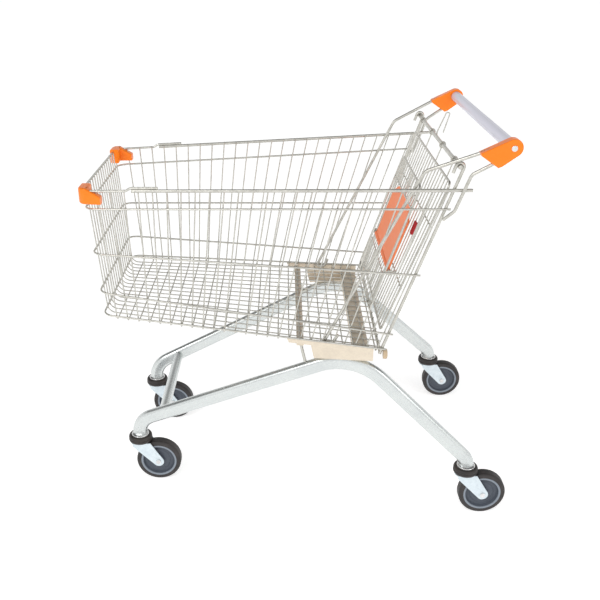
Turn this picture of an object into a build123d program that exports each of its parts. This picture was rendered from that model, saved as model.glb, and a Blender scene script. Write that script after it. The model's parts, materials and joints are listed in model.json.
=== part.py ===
from build123d import *
import math
import os

# Supermarket trolley: tapered wire basket with a swing-in rear gate and a folding child seat,
# carried on two bent oval tubes that stand on four swivel casters.
# Millimetres, +Z up, +X towards the pushing handle, Y = 0 is the plane of symmetry.
# The driver stands behind the handle and faces -X, so -Y is the left side.
# Every X below is counted from the front caster stems, and SHIFT centres the whole trolley.

# ---- chassis ----
STEM_X_REAR = 890.0
STEM_Y_FRONT = 160.0
STEM_Y_REAR = 305.0
TUBE_TALL = 40.0
TUBE_THICK = 25.0
TUBE_WALL = 2.0
TUBE_IN_RING = 7.0
FRONT_KNEE_RISE = 51.5
REAR_KNEE_RISE = 26.5
APEX_X = 584.0
APEX_Z = 453.0
FRONT_KNEE_R = 60.0
APEX_R = 150.0
REAR_KNEE_R = 40.0
CROSS_TUBE_X = 72.0
CROSS_TUBE_D = 28.0

# ---- casters ----
WHEEL_D = 125.0
CASTER_TRAIL = 49.0
TYRE_WIDTH = 30.0
TYRE_DEPTH = 12.5
HUB_WIDTH = 33.0
AXLE_D = 8.0
FORK_SHEET = 2.5
FORK_GAP = 1.0
FORK_TIP_R = 15.0
FORK_HALF_LONG = 29.0
FORK_SKIRT = 10.0
CROWN_DROP = 5.0
CROWN_THICK = 3.0
CROWN_CLEAR = 3.0
RING_D = 66.0
RING_GAP = 1.5
RING_TALL = 21.0
STEM_D = 12.0
STEM_IN_TUBE = 33.5

# ---- basket ----
BASKET_FRONT_X = -81.0
RIM_Z_FRONT = 863.0
RIM_RISE = 0.0374
RIM_END_X = 829.0
HALF_WIDTH_FRONT = 211.7
SIDE_TAPER = 0.100
FLOOR_FRONT_X = -57.0
FLOOR_Z_FRONT = 539.0
FLOOR_FALL = 0.081
FLOOR_REAR_X = 646.0
RIM_D = 8.0
HOOP_D = 5.0
WIRE_D = 3.5
ROD_D = 8.0
FRONT_ROD_D = 6.0
WIRE_GAP = 0.25
CORNER_CUT = 30.0
SIDE_WIRES = 25
SIDE_WIRE_X_TOP = -46.0
SIDE_WIRE_X_LOW = -22.0
SIDE_WIRE_STAND_OFF = 11.0
FRONT_WIRES = 16
FRONT_WIRE_EDGE = 35.7
REAR_WIRE_EDGE = 26.4
FLOOR_DROP = 11.0
HOOP_2_DROP = 45.0
HOOP_3_Z = (704.0, 686.0)
HOOP_4_Z = (603.0, 526.0)
EDGE_ROD_FOOT = 6.0
LAP_START_X = 42.0
LAP_END_X = 106.0

# ---- corner bumpers ----
BUMPER_TALL = 39.0
BUMPER_SIDE_LEG = 56.0
BUMPER_FRONT_LEG = 50.0
BUMPER_OUT = 9.0
BUMPER_IN = 15.0
BUMPER_WALL = 3.5

# ---- handle ----
HANDLE_X = 902.0
HANDLE_Z = 1000.0
GRIP_D = 28.0
CORE_D = 22.0
CORE_WALL = 1.5
BRACKET_OUT = 22.5
BRACKET_THICK = 24.0
BRACKET_R = 20.0
POCKET_DEPTH = 14.0
FIT = 0.3
RUNNING = 0.1

# ---- rear gate and child seat ----
HINGE_X = 797.0
HINGE_Z = 948.0
HINGE_D = 10.0
EDGE_LEAN = math.radians(18.54)
GATE_TOP = 45.0
GATE_BOTTOM = 462.0
GATE_EDGE_TOP = 25.5
GATE_EDGE_LOW = 53.8
GATE_ROD_D = 6.0
GATE_WIRES = 19
GATE_WIRE_SPAN = 0.90
EYE_GAP = 0.5
SEAT_BACK_HINGE_W = 440.0
SEAT_BACK_N = 30.0
SEAT_BACK_LENGTH = 340.0
SEAT_BACK_HALF = 155.0
SEAT_HINGE_W = 333.0
SEAT_N = 20.0
SEAT_LENGTH = 165.0
SEAT_LEG_WIRE = 15
SEAT_LEG_D = 5.0
SEAT_PIN_OUT = 16.5
SEAT_HALF_TOP = 92.0
SEAT_CLIP = 30.0
SEAT_WINDOW = (160.0, 347.0)
SEAT_THICK = 4.0
HOOK_Y = 45.0
BELT_Y = 148.0
BELT_W = 205.0
BELT_WIDE = 22.0
BELT_TALL = 34.0

# ---- support under the basket ----
PLATE_X = (412.0, 629.0)
PLATE_STEP_X = 472.0
PLATE_LIP = 11.0
SHEET = 3.0
FLANGE_LAP = 17.0
FRONT_BAR_X = 445.0
FRONT_BAR_WIDE = 18.0
REAR_BAR_X = 600.0
REAR_BAR_WIDE = 40.0
STRUT_D = 8.0
PAD_R = 13.0
PAD_THICK = 10.0
FOOT_LONG = 24.0
FOOT_TALL = 22.0

# Heights of the chassis, counted up from the wheels.
CROWN_Z = WHEEL_D - CROWN_DROP
RING_Z = CROWN_Z + CROWN_THICK + RING_GAP
TUBE_FOOT_Z = RING_Z + RING_TALL - TUBE_IN_RING
FRONT_KNEE_Z = TUBE_FOOT_Z + FRONT_KNEE_RISE
REAR_KNEE_Z = TUBE_FOOT_Z + REAR_KNEE_RISE
STEM_TOP_Z = TUBE_FOOT_Z + STEM_IN_TUBE

REAR_END = STEM_X_REAR + CASTER_TRAIL + WHEEL_D / 2
FRONT_END = BASKET_FRONT_X - BUMPER_OUT
SHIFT = -(REAR_END + FRONT_END) / 2

# Distances square to the side walls, from the rim line outwards.
SIDE_WIRE_OUT = -(RIM_D / 2 + WIRE_GAP + WIRE_D / 2)
HOOP_OUT = SIDE_WIRE_OUT + WIRE_D / 2 + WIRE_GAP + HOOP_D / 2
EDGE_ROD_OUT = HOOP_OUT - HOOP_D / 2 - WIRE_GAP - ROD_D / 2
UPPER_ROD_OUT = SIDE_WIRE_OUT - WIRE_D / 2 - WIRE_GAP - ROD_D / 2
LOWER_ROD_OUT = RIM_D / 2 + WIRE_GAP + ROD_D / 2
PLATE_OUT = SIDE_WIRE_OUT + WIRE_D / 2 + WIRE_GAP + SHEET / 2

UP = Vector(math.sin(EDGE_LEAN), 0, math.cos(EDGE_LEAN))
FORWARD = Vector(-math.cos(EDGE_LEAN), 0, math.sin(EDGE_LEAN))
HINGE = Vector(HINGE_X, 0, HINGE_Z)


def half_width(x):
    """Half width of the basket at the rim line."""
    return HALF_WIDTH_FRONT + SIDE_TAPER * (x - BASKET_FRONT_X)


# Widths that follow the side walls.
FRONT_WIRE_Y = HALF_WIDTH_FRONT - FRONT_WIRE_EDGE
REAR_WIRE_Y = half_width(FLOOR_REAR_X) - REAR_WIRE_EDGE
BRACKET_Y = half_width(HINGE_X) + BRACKET_OUT
GATE_HALF_TOP = half_width(HINGE_X) - GATE_EDGE_TOP
GATE_HALF_LOW = half_width(HINGE_X - GATE_BOTTOM * math.sin(EDGE_LEAN)) - GATE_EDGE_LOW


def rim_z(x):
    return RIM_Z_FRONT + RIM_RISE * (x - BASKET_FRONT_X)


def hoop_2_z(x):
    return rim_z(x) - HOOP_2_DROP


def hoop_3_z(x):
    share = (x - BASKET_FRONT_X) / (FLOOR_REAR_X - BASKET_FRONT_X)
    return HOOP_3_Z[0] + (HOOP_3_Z[1] - HOOP_3_Z[0]) * share


def hoop_4_z(x):
    share = (x - BASKET_FRONT_X) / (FLOOR_REAR_X - BASKET_FRONT_X)
    return HOOP_4_Z[0] + (HOOP_4_Z[1] - HOOP_4_Z[0]) * share


def low_hoop_z(x):
    return FLOOR_Z_FRONT - FLOOR_FALL * (x - FLOOR_FRONT_X)


def cross_wire_z(x):
    return low_hoop_z(x) - FLOOR_DROP


def long_wire_z(x):
    return cross_wire_z(x) + WIRE_D + WIRE_GAP


def front_x(z):
    """Front of the basket, which leans forwards towards the rim."""
    lean = (FLOOR_FRONT_X - BASKET_FRONT_X) / (RIM_Z_FRONT - FLOOR_Z_FRONT)
    return BASKET_FRONT_X + (RIM_Z_FRONT - z) * lean


def edge_x(z):
    """Centre line of the rear edge rods, which hook forwards over the hinge bar."""
    reach = HINGE_D / 2 + FIT + ROD_D / 2
    foot = HINGE - FORWARD * reach
    return foot.X - (foot.Z - z) * math.tan(EDGE_LEAN)


def wall(x, z, out, side):
    """Point beside a side wall, at a distance outwards from its rim line."""
    return Vector(x, side * (half_width(x) + out), z)


def gate_point(n, y, w):
    """Point on the rear gate: n forwards of the hinge bar, w down along the gate."""
    return HINGE + FORWARD * n - UP * w + Vector(0, y, 0)


def direction(start, end):
    return (end - start).normalized()


def run(start, end, diameter, cut_start=None, cut_end=None):
    """Straight round wire, each end square or cut on the plane of a mitre."""
    along = direction(start, end)
    back = diameter if cut_start is not None else 0
    ahead = diameter if cut_end is not None else 0
    height = (end - start).length + back + ahead
    base = Plane(origin=start - along * back, z_dir=along)
    rod = Solid.make_cylinder(diameter / 2, height, base)
    if cut_start is not None:
        rod = rod.split(Plane(origin=start, z_dir=cut_start), keep=Keep.TOP)
    if cut_end is not None:
        rod = rod.split(Plane(origin=end, z_dir=cut_end), keep=Keep.BOTTOM)
    return rod


def bent(points, diameter):
    """Bent wire as straight runs that meet face to face on their mitres."""
    points = [Vector(point) for point in points]
    mitres = [None]
    for before, corner, after in zip(points, points[1:], points[2:]):
        mitres.append((direction(before, corner) + direction(corner, after)).normalized())
    mitres.append(None)
    pairs = zip(points, points[1:], mitres, mitres[1:])
    return [run(start, end, diameter, first, last) for start, end, first, last in pairs]


def curved_rod(points, radii, diameter):
    """One rod along straight runs with round bends."""
    path = FilletPolyline(*points, radius=radii)
    section = Plane(origin=path @ 0, z_dir=path % 0) * Circle(diameter / 2)
    return sweep(section, path=path)


def solids(*shapes):
    found = []
    for shape in shapes:
        if isinstance(shape, (list, tuple)):
            found += solids(*shape)
        else:
            found += list(shape.solids())
    return found


def save(name, *shapes):
    """Write one node as its separate solids, with the whole trolley centred."""
    pieces = [piece.moved(Location((SHIFT, 0, 0))) for piece in solids(*shapes)]
    export_step(pieces[0] if len(pieces) == 1 else Compound(children=pieces), f"parts/{name}.step")


def box_between(low, high):
    size = Vector(high) - Vector(low)
    centre = (Vector(high) + Vector(low)) * 0.5
    return Solid.make_box(size.X, size.Y, size.Z, Plane(origin=centre - size * 0.5))


# ---- chassis pieces ----

def frame_plane(side):
    """Upright plane of a side frame, from its front stem to its rear stem."""
    along = Vector(STEM_X_REAR, side * (STEM_Y_REAR - STEM_Y_FRONT), 0)
    return Plane(origin=(0, side * STEM_Y_FRONT, 0), x_dir=along, z_dir=along.cross(Vector(0, 0, 1)))


def frame_stretch():
    """Length along the frame's own plane for each millimetre of X."""
    return math.hypot(STEM_X_REAR, STEM_Y_REAR - STEM_Y_FRONT) / STEM_X_REAR


def frame_y(x):
    return STEM_Y_FRONT + (STEM_Y_REAR - STEM_Y_FRONT) * x / STEM_X_REAR


def oval(tall, thick):
    return SlotOverall(tall, thick)


def side_frame(side):
    plane = frame_plane(side)
    stretch = frame_stretch()
    corners = [(0, TUBE_FOOT_Z), (0, FRONT_KNEE_Z), (APEX_X * stretch, APEX_Z)]
    corners += [(STEM_X_REAR * stretch, REAR_KNEE_Z), (STEM_X_REAR * stretch, TUBE_FOOT_Z)]
    points = [plane.from_local_coords(Vector(u, v, 0)) for u, v in corners]
    knee_room = REAR_KNEE_RISE - TUBE_IN_RING - WIRE_GAP
    rear_r = min(REAR_KNEE_R, knee_room / math.tan(math.pi / 4 - slope_rear() / 2))
    path = FilletPolyline(*points, radius=[FRONT_KNEE_R, APEX_R, rear_r])
    start = Plane(origin=points[0], x_dir=plane.x_dir, z_dir=(0, 0, 1))
    outer = sweep(start * oval(TUBE_TALL, TUBE_THICK), path=path)
    inner = sweep(start * oval(TUBE_TALL - 2 * TUBE_WALL, TUBE_THICK - 2 * TUBE_WALL), path=path)
    return outer - inner


def slope_front():
    return math.atan2(APEX_Z - FRONT_KNEE_Z, APEX_X * frame_stretch())


def slope_rear():
    return math.atan2(APEX_Z - REAR_KNEE_Z, (STEM_X_REAR - APEX_X) * frame_stretch())


def frame_line_z(x):
    """Height of the tube's centre line on its long front slope."""
    return FRONT_KNEE_Z + (APEX_Z - FRONT_KNEE_Z) * x / APEX_X


def tube_top_z():
    """Highest point of the side frame, over its big bend."""
    turn = slope_front() + slope_rear()
    drop = (math.cos(slope_front()) + math.cos(slope_rear())) / (1 + math.cos(turn)) - 1
    return APEX_Z - APEX_R * drop + TUBE_TALL / 2


def front_cross_tube():
    z = frame_line_z(CROSS_TUBE_X)
    reach = frame_y(CROSS_TUBE_X)
    rod = Solid.make_cylinder(CROSS_TUBE_D / 2, 2 * reach, Plane((CROSS_TUBE_X, -reach, z), z_dir=(0, 1, 0)))
    bore_d = CROSS_TUBE_D - 2 * TUBE_WALL
    bore = Solid.make_cylinder(bore_d / 2, 2 * reach, Plane((CROSS_TUBE_X, -reach, z), z_dir=(0, 1, 0)))
    tube = rod - bore
    for side in (-1, 1):
        plane = frame_plane(side)
        outwards = Vector(-plane.x_dir.Y, plane.x_dir.X, 0) * side
        face = Plane(origin=plane.origin - outwards * (TUBE_THICK / 2), z_dir=outwards)
        tube = tube.split(face, keep=Keep.BOTTOM)
    return tube


def plate_top_z(x):
    return low_hoop_z(x) - HOOP_D / 2 - WIRE_GAP


def support_plate(side):
    """Pressed bracket: upright web beside the basket and a flange over the tube."""
    low = tube_top_z() + WIRE_GAP
    x0, x1 = PLATE_X
    outline = [(x0, plate_top_z(x0)), (x1, plate_top_z(x1)), (x1, low)]
    outline += [(PLATE_STEP_X + 8, low), (PLATE_STEP_X, plate_top_z(PLATE_STEP_X) - PLATE_LIP)]
    outline += [(x0 + 4, plate_top_z(x0) - PLATE_LIP)]
    turn = math.atan(SIDE_TAPER)
    along = Vector(math.cos(turn), side * math.sin(turn), 0)
    outwards = Vector(-math.sin(turn), side * math.cos(turn), 0)
    web_plane = Plane(origin=wall(0, 0, PLATE_OUT, side), x_dir=along, z_dir=along.cross(Vector(0, 0, 1)))
    local = [(x / math.cos(turn), z) for x, z in outline]
    face = web_plane * make_face(Polyline(*local, close=True))
    web = extrude(face, amount=SHEET / 2, both=True)
    inner = wall(0, 0, PLATE_OUT - SHEET / 2, side)
    corner_a = inner + along * ((PLATE_STEP_X + 8) / math.cos(turn))
    corner_b = inner + along * (x1 / math.cos(turn))
    wide = half_width(APEX_X) + PLATE_OUT - SHEET / 2 - frame_y(APEX_X) + FLANGE_LAP
    flat = [corner_a, corner_b, corner_b - outwards * wide, corner_a - outwards * wide]
    ground = make_face(Polyline(*[(p.X, p.Y) for p in flat], close=True))
    flange = extrude(Plane(origin=(0, 0, low)) * ground, amount=SHEET)
    return web + flange


def cross_bar(x, wide, tall, top_z, wall_out):
    """Bar across under the floor, its ends cut to the taper of the side plates."""
    reach = half_width(x) + 20
    bar = box_between((x - wide / 2, -reach, top_z - tall), (x + wide / 2, reach, top_z))
    return trim_to_walls(bar, wall_out)


def trim_to_walls(shape, out):
    for side in (-1, 1):
        turn = math.atan(SIDE_TAPER)
        outwards = Vector(-math.sin(turn), side * math.cos(turn), 0)
        shape = shape.split(Plane(origin=wall(0, 0, out, side), z_dir=outwards), keep=Keep.BOTTOM)
    return shape


def rear_cross_bar():
    """Inverted channel that stands on the flanges of both plates."""
    x0 = REAR_BAR_X - REAR_BAR_WIDE / 2
    x1 = REAR_BAR_X + REAR_BAR_WIDE / 2
    top = cross_wire_z(x1) - WIRE_D / 2 - WIRE_GAP
    low = tube_top_z() + 2 * WIRE_GAP + SHEET
    bar = cross_bar(REAR_BAR_X, REAR_BAR_WIDE, top - low, top, PLATE_OUT - SHEET / 2 - WIRE_GAP)
    reach = half_width(x1) + 20
    hollow = box_between((x0 + SHEET, -reach, low - 1), (x1 - SHEET, reach, top - SHEET))
    return bar - hollow


def front_bar_top():
    return cross_wire_z(FRONT_BAR_X + FRONT_BAR_WIDE / 2) - WIRE_D / 2 - WIRE_GAP


def front_cross_bar():
    return cross_bar(FRONT_BAR_X, FRONT_BAR_WIDE, 2 * SHEET, front_bar_top(), PLATE_OUT - SHEET / 2 - WIRE_GAP)


def struts():
    found = []
    low_x = FRONT_BAR_X + 14
    tube_top = frame_line_z(low_x) + TUBE_TALL / 2 / math.cos(slope_front())
    for side in (-1, 1):
        y = side * frame_y(low_x)
        top = Vector(FRONT_BAR_X, y, front_bar_top() - 2 * SHEET)
        foot = Vector(low_x, y, tube_top + WIRE_GAP)
        found.append(run(foot, top, STRUT_D, (top - foot).normalized(), Vector(0, 0, 1)))
    found = [rod.split(tube_top_plane(side, low_x), keep=Keep.TOP) for rod, side in zip(found, (-1, 1))]
    return found


def tube_top_plane(side, x):
    z = frame_line_z(x) + TUBE_TALL / 2 / math.cos(slope_front()) + WIRE_GAP
    normal = Vector(-math.sin(slope_front()), 0, math.cos(slope_front()))
    return Plane(origin=(x, side * frame_y(x), z), z_dir=normal)


# ---- caster pieces ----

def stem_places():
    return {
        "front_left": Vector(0, -STEM_Y_FRONT, 0),
        "front_right": Vector(0, STEM_Y_FRONT, 0),
        "rear_left": Vector(STEM_X_REAR, -STEM_Y_REAR, 0),
        "rear_right": Vector(STEM_X_REAR, STEM_Y_REAR, 0),
    }


def stem_turn(side):
    """Angle of the frame's plane about Z at a stem."""
    return math.degrees(math.atan2(side * (STEM_Y_REAR - STEM_Y_FRONT), STEM_X_REAR))


def bumper_ring(side):
    """Rubber ring around the foot of the frame tube, with a pocket for the tube's end."""
    ring = Solid.make_cylinder(RING_D / 2, RING_TALL, Plane((0, 0, RING_Z)))
    ring = fillet(ring.edges().filter_by(GeomType.CIRCLE), RING_TALL / 3)
    pocket_tall = RING_Z + RING_TALL - TUBE_FOOT_Z + WIRE_GAP
    turned = Plane((0, 0, TUBE_FOOT_Z - WIRE_GAP)).rotated((0, 0, stem_turn(side)))
    ring = ring - extrude(turned * oval(TUBE_TALL + FIT, TUBE_THICK + FIT), amount=pocket_tall)
    return ring - Solid.make_cylinder(STEM_D / 2 + FIT, RING_TALL + 2, Plane((0, 0, RING_Z - 1)))


def caster_stem():
    """King pin with its flanged head under the crown of the fork, and its plug in the tube."""
    pin_foot = CROWN_Z - 2
    stem = Solid.make_cylinder(STEM_D / 2, STEM_TOP_Z - pin_foot, Plane((0, 0, pin_foot)))
    plug_d = TUBE_THICK - 2 * TUBE_WALL - 2 * WIRE_GAP
    plug_foot = TUBE_FOOT_Z + WIRE_GAP
    return stem + Solid.make_cylinder(plug_d / 2, 9, Plane((0, 0, plug_foot)))


def fork():
    """Pressed fork: a crown with a hole for the pin, and two tapered legs to the axle."""
    inner = HUB_WIDTH / 2 + FORK_GAP
    outer = inner + FORK_SHEET
    crown = Solid.make_cylinder(FORK_HALF_LONG, CROWN_THICK, Plane((0, 0, CROWN_Z)))
    wheel_r = WHEEL_D / 2
    crown_end = CASTER_TRAIL - math.sqrt((wheel_r + CROWN_CLEAR) ** 2 - (CROWN_Z - wheel_r) ** 2)
    crown = crown & box_between((-FORK_HALF_LONG, -outer, CROWN_Z), (crown_end, outer, CROWN_Z + CROWN_THICK))
    crown = crown - Solid.make_cylinder(STEM_D / 2 + RUNNING, 3 * CROWN_THICK, Plane((0, 0, CROWN_Z - CROWN_THICK)))
    axle = (CASTER_TRAIL, WHEEL_D / 2)
    top_z = CROWN_Z + CROWN_THICK
    heel_x = -math.sqrt(FORK_HALF_LONG ** 2 - outer ** 2)
    tip = Pos(axle[0], axle[1]) * Circle(FORK_TIP_R)
    low_z = top_z - FORK_SKIRT
    top = [(heel_x, top_z), (FORK_HALF_LONG, top_z), (FORK_HALF_LONG, low_z), (heel_x, low_z)]
    top = make_face(Polyline(*top, close=True))
    profile = make_hull((tip + top).edges()) - Pos(axle[0], axle[1]) * Circle(AXLE_D / 2 + RUNNING)
    body = crown
    for side in (-1, 1):
        plane = Plane(origin=(0, side * inner if side < 0 else outer, 0), x_dir=(1, 0, 0), z_dir=(0, -1, 0))
        body = body + extrude(plane * profile, amount=FORK_SHEET)
    return body


def axle_bolt():
    """Axle with a round head on one side and a nut on the other."""
    outer = HUB_WIDTH / 2 + FORK_GAP + FORK_SHEET
    centre = Vector(CASTER_TRAIL, 0, WHEEL_D / 2)
    shank = Solid.make_cylinder(AXLE_D / 2, 2 * outer + 2, Plane(centre - Vector(0, outer + 1, 0), z_dir=(0, 1, 0)))
    head = Solid.make_cylinder(AXLE_D * 0.85, 3.5, Plane(centre - Vector(0, outer + 3.5, 0), z_dir=(0, 1, 0)))
    hexagon = Plane(centre + Vector(0, outer, 0), z_dir=(0, 1, 0)) * RegularPolygon(AXLE_D * 0.85, 6)
    return shank + head + extrude(hexagon, amount=4.5)


def wheel_core():
    """Moulded core with a stepped web between its hub and its rim."""
    tyre_inner = WHEEL_D / 2 - TYRE_DEPTH
    half = [(AXLE_D / 2 + RUNNING, 0), (AXLE_D / 2 + RUNNING, HUB_WIDTH / 2), (15, HUB_WIDTH / 2)]
    half += [(17, 9), (30, 9), (33, 7), (tyre_inner - 9, 7), (tyre_inner - 6, 12.5), (tyre_inner, 12.5)]
    mirrored = [(r, -y) for r, y in reversed(half)]
    face = Plane.XY * make_face(Polyline(*(half + mirrored[:-1]), close=True))
    core = revolve(face, axis=Axis.Y)
    return core.moved(Location((CASTER_TRAIL, 0, WHEEL_D / 2)))


def tyre():
    inner = WHEEL_D / 2 - TYRE_DEPTH
    outer = WHEEL_D / 2
    half = TYRE_WIDTH / 2
    shoulder = 6.0
    right = Line((inner, -half), (outer - shoulder, -half))
    low = RadiusArc((outer - shoulder, -half), (outer, -half + shoulder), -shoulder)
    tread = Line((outer, -half + shoulder), (outer, half - shoulder))
    high = RadiusArc((outer, half - shoulder), (outer - shoulder, half), -shoulder)
    left = Line((outer - shoulder, half), (inner, half))
    face = make_face([right, low, tread, high, left, Line((inner, half), (inner, -half))])
    return revolve(face, axis=Axis.Y).moved(Location((CASTER_TRAIL, 0, WHEEL_D / 2)))


# ---- basket pieces ----

def share(pair, index, count):
    return pair[0] + (pair[1] - pair[0]) * index / (count - 1)


def basket_wires():
    """U-shaped wires: down one side wall, across under the floor and up the other."""
    walls = {-1: [], 1: []}
    floor = []
    for index in range(SIDE_WIRES):
        x_top = share((SIDE_WIRE_X_TOP, edge_x(rim_z(HINGE_X)) - SIDE_WIRE_STAND_OFF), index, SIDE_WIRES)
        x_low = share((SIDE_WIRE_X_LOW, FLOOR_REAR_X - SIDE_WIRE_STAND_OFF), index, SIDE_WIRES)
        ends = [wall(x_top, rim_z(x_top) + 2, SIDE_WIRE_OUT, side) for side in (-1, 1)]
        feet = [wall(x_low, cross_wire_z(x_low), SIDE_WIRE_OUT, side) for side in (-1, 1)]
        left, across, right = bent([ends[0], feet[0], feet[1], ends[1]], WIRE_D)
        walls[-1].append(left)
        walls[1].append(right)
        floor.append(across)
    return walls, floor


def front_and_long_wires():
    """Wires that run along the floor and bend up to make the front panel."""
    front = []
    floor = []
    for index in range(FRONT_WIRES):
        y_front = share((-FRONT_WIRE_Y, FRONT_WIRE_Y), index, FRONT_WIRES)
        y_rear = share((-REAR_WIRE_Y, REAR_WIRE_Y), index, FRONT_WIRES)
        inside = FRONT_ROD_D / 2 + WIRE_GAP + WIRE_D / 2
        z_top = RIM_Z_FRONT + 2
        z_low = long_wire_z(FLOOR_FRONT_X)
        x_rear = FLOOR_REAR_X + 4
        top = (front_x(z_top) + inside, y_front, z_top)
        foot = (front_x(z_low) + inside, y_front, z_low)
        up, along = bent([top, foot, (x_rear, y_rear, long_wire_z(x_rear))], WIRE_D)
        front.append(up)
        floor.append(along)
    return front, floor


def hoop(height, end_x, out, diameter):
    """Horizontal wire round both side walls and the front."""
    x_side = front_x(height(BASKET_FRONT_X)) + CORNER_CUT
    x_front = front_x(height(BASKET_FRONT_X))
    z_front = height(x_front)
    y_front = half_width(x_front) + out - CORNER_CUT
    left = [wall(end_x, height(end_x), out, -1), wall(x_side, height(x_side), out, -1)]
    right = [wall(x_side, height(x_side), out, 1), wall(end_x, height(end_x), out, 1)]
    corners = [(x_front, -y_front, z_front), (x_front, y_front, z_front)]
    return bent(left + corners + right, diameter)


def front_rim_rod():
    """Thinner rod round the front, with joggled ends lapped over the side rims."""
    lift = RIM_D / 2 + WIRE_GAP + FRONT_ROD_D / 2
    x_front = BASKET_FRONT_X
    y_front = half_width(x_front) - CORNER_CUT
    step_x = LAP_START_X - 14
    right = [wall(x_front + CORNER_CUT, rim_z(x_front + CORNER_CUT), 0, 1), wall(step_x, rim_z(step_x), 0, 1)]
    right += [wall(LAP_START_X - 2, rim_z(LAP_START_X) + lift, 0, 1)]
    right += [wall(LAP_END_X, rim_z(LAP_END_X) + lift, 0, 1)]
    left = [Vector(point.X, -point.Y, point.Z) for point in reversed(right)]
    corners = [(x_front, -y_front, rim_z(x_front)), (x_front, y_front, rim_z(x_front))]
    return bent(left + corners + right, FRONT_ROD_D)


def side_rim(side):
    start = wall(LAP_START_X, rim_z(LAP_START_X), 0, side)
    return run(start, wall(RIM_END_X, rim_z(RIM_END_X), 0, side), RIM_D)


def edge_rods():
    """Rear edge rods: straight up the basket's rear edge, then hooked forwards over the hinge bar."""
    found = []
    reach = HINGE_D / 2 + FIT + ROD_D / 2
    foot_z = cross_wire_z(FLOOR_REAR_X) - EDGE_ROD_FOOT
    leg = 18.0
    for side in (-1, 1):
        y = side * (half_width(HINGE_X) + EDGE_ROD_OUT)
        rear = HINGE - FORWARD * reach + Vector(0, y, 0)
        front = HINGE + FORWARD * reach + Vector(0, y, 0)
        crest = HINGE + UP * reach + Vector(0, y, 0)
        foot_x = edge_x(foot_z)
        foot = wall(foot_x, foot_z, EDGE_ROD_OUT, side)
        knee = rear - UP * leg
        line = direction(foot, knee)
        arc = ThreePointArc(rear, crest, front)
        hook = Polyline(knee, rear) + arc + Polyline(front, front - UP * leg)
        section = Plane(origin=knee, z_dir=UP) * Circle(ROD_D / 2)
        crook = sweep(section, path=Wire(hook.edges()))
        mitre = (line + UP).normalized()
        straight = run(foot, knee, ROD_D, None, mitre)
        crook = crook.split(Plane(origin=knee, z_dir=mitre), keep=Keep.TOP)
        found.append(straight + crook)
    return found


def floor_rear_rod():
    x = FLOOR_REAR_X
    z = long_wire_z(x) - WIRE_D / 2 - WIRE_GAP - ROD_D / 2
    reach = half_width(x) + EDGE_ROD_OUT - ROD_D / 2 - WIRE_GAP - 1
    return run(Vector(x, -reach, z), Vector(x, reach, z), ROD_D)


def corner_pads():
    """Round buffers behind the lower ends of the rear edge rods."""
    z = cross_wire_z(FLOOR_REAR_X) - EDGE_ROD_FOOT
    x = edge_x(z + PAD_R) + ROD_D / 2 / math.cos(EDGE_LEAN) + 2 * WIRE_GAP
    found = []
    for side in (-1, 1):
        face = Plane(wall(x, z, EDGE_ROD_OUT, side), z_dir=(1, 0, 0))
        pad = Solid.make_cylinder(PAD_R, PAD_THICK, face)
        found.append(fillet(pad.edges().filter_by(GeomType.CIRCLE).sort_by(Axis.X)[-1], PAD_THICK / 3))
    return found


def corner_bumper(side):
    """Moulded cover over a front corner of the rim: top, outer wall and a lip underneath."""
    top = rim_z(FRONT_END + BUMPER_SIDE_LEG) + FRONT_ROD_D / 2 + FIT + BUMPER_WALL
    low = top - BUMPER_TALL

    def band(outwards, inwards):
        x0 = BASKET_FRONT_X - outwards
        x1 = FRONT_END + BUMPER_SIDE_LEG
        y0 = half_width(BASKET_FRONT_X) - BUMPER_FRONT_LEG + BUMPER_OUT
        taper = SIDE_TAPER
        y_front = half_width(x0) + outwards
        y_rear = half_width(x1) + outwards
        bevel = 7.0
        outline = [(x0, y0), (x0, y_front - bevel), (x0 + bevel, y_front + taper * bevel), (x1, y_rear)]
        inner_x = BASKET_FRONT_X + inwards
        inner_y = half_width(inner_x) - inwards
        outline += [(x1, half_width(x1) - inwards), (inner_x, inner_y), (inner_x, y0)]
        return make_face(Polyline(*[(x, side * y) for x, y in outline], close=True))

    cover = extrude(Plane((0, 0, low)) * band(BUMPER_OUT, BUMPER_IN), amount=BUMPER_TALL)
    inside = extrude(
        Plane((0, 0, low + BUMPER_WALL)) * band(BUMPER_OUT - BUMPER_WALL, 2 * BUMPER_IN),
        amount=BUMPER_TALL - 2 * BUMPER_WALL,
    )
    lip_cut = extrude(Plane((0, 0, low - 1)) * band(1.0, 2 * BUMPER_IN), amount=BUMPER_TALL - BUMPER_WALL)
    return cover - inside - lip_cut


# ---- handle pieces ----

def bracket(side):
    """Moulded arm end: holds the handle tube in a pocket and both handle rods in sockets."""
    centre = Vector(HANDLE_X, 0, HANDLE_Z)
    outline = Pos(HANDLE_X, HANDLE_Z) * Circle(BRACKET_R)
    tail = make_face(Polyline((831, 988), (833, 982), (872, 956), (880, 959), close=True))
    profile = make_hull((outline + tail).edges())
    inner_y = side * (BRACKET_Y - BRACKET_THICK / 2)
    plane = Plane(origin=(0, inner_y, 0), x_dir=(1, 0, 0), z_dir=(0, -1, 0))
    body = extrude(plane * profile, amount=-side * BRACKET_THICK)
    body = fillet(body.edges().filter_by(lambda e: abs(e.center().Y) > BRACKET_Y), 2.5)
    inwards = Plane(centre + Vector(0, inner_y - side, 0), z_dir=(0, side, 0))
    body = body - Solid.make_cylinder(GRIP_D / 2 + FIT, POCKET_DEPTH + 1, inwards)
    through = Plane(centre + Vector(0, inner_y, 0), z_dir=(0, side, 0))
    body = body - Solid.make_cylinder(3 + WIRE_GAP, BRACKET_THICK + 1, through)
    for points, _ in (upper_rod_path(side), lower_rod_path(side)):
        last, end = points[-2], points[-1]
        line = direction(last, end)
        body = body - Solid.make_cylinder(ROD_D / 2 + FIT, (end - last).length + FIT, Plane(last, z_dir=line))
    return body


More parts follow.
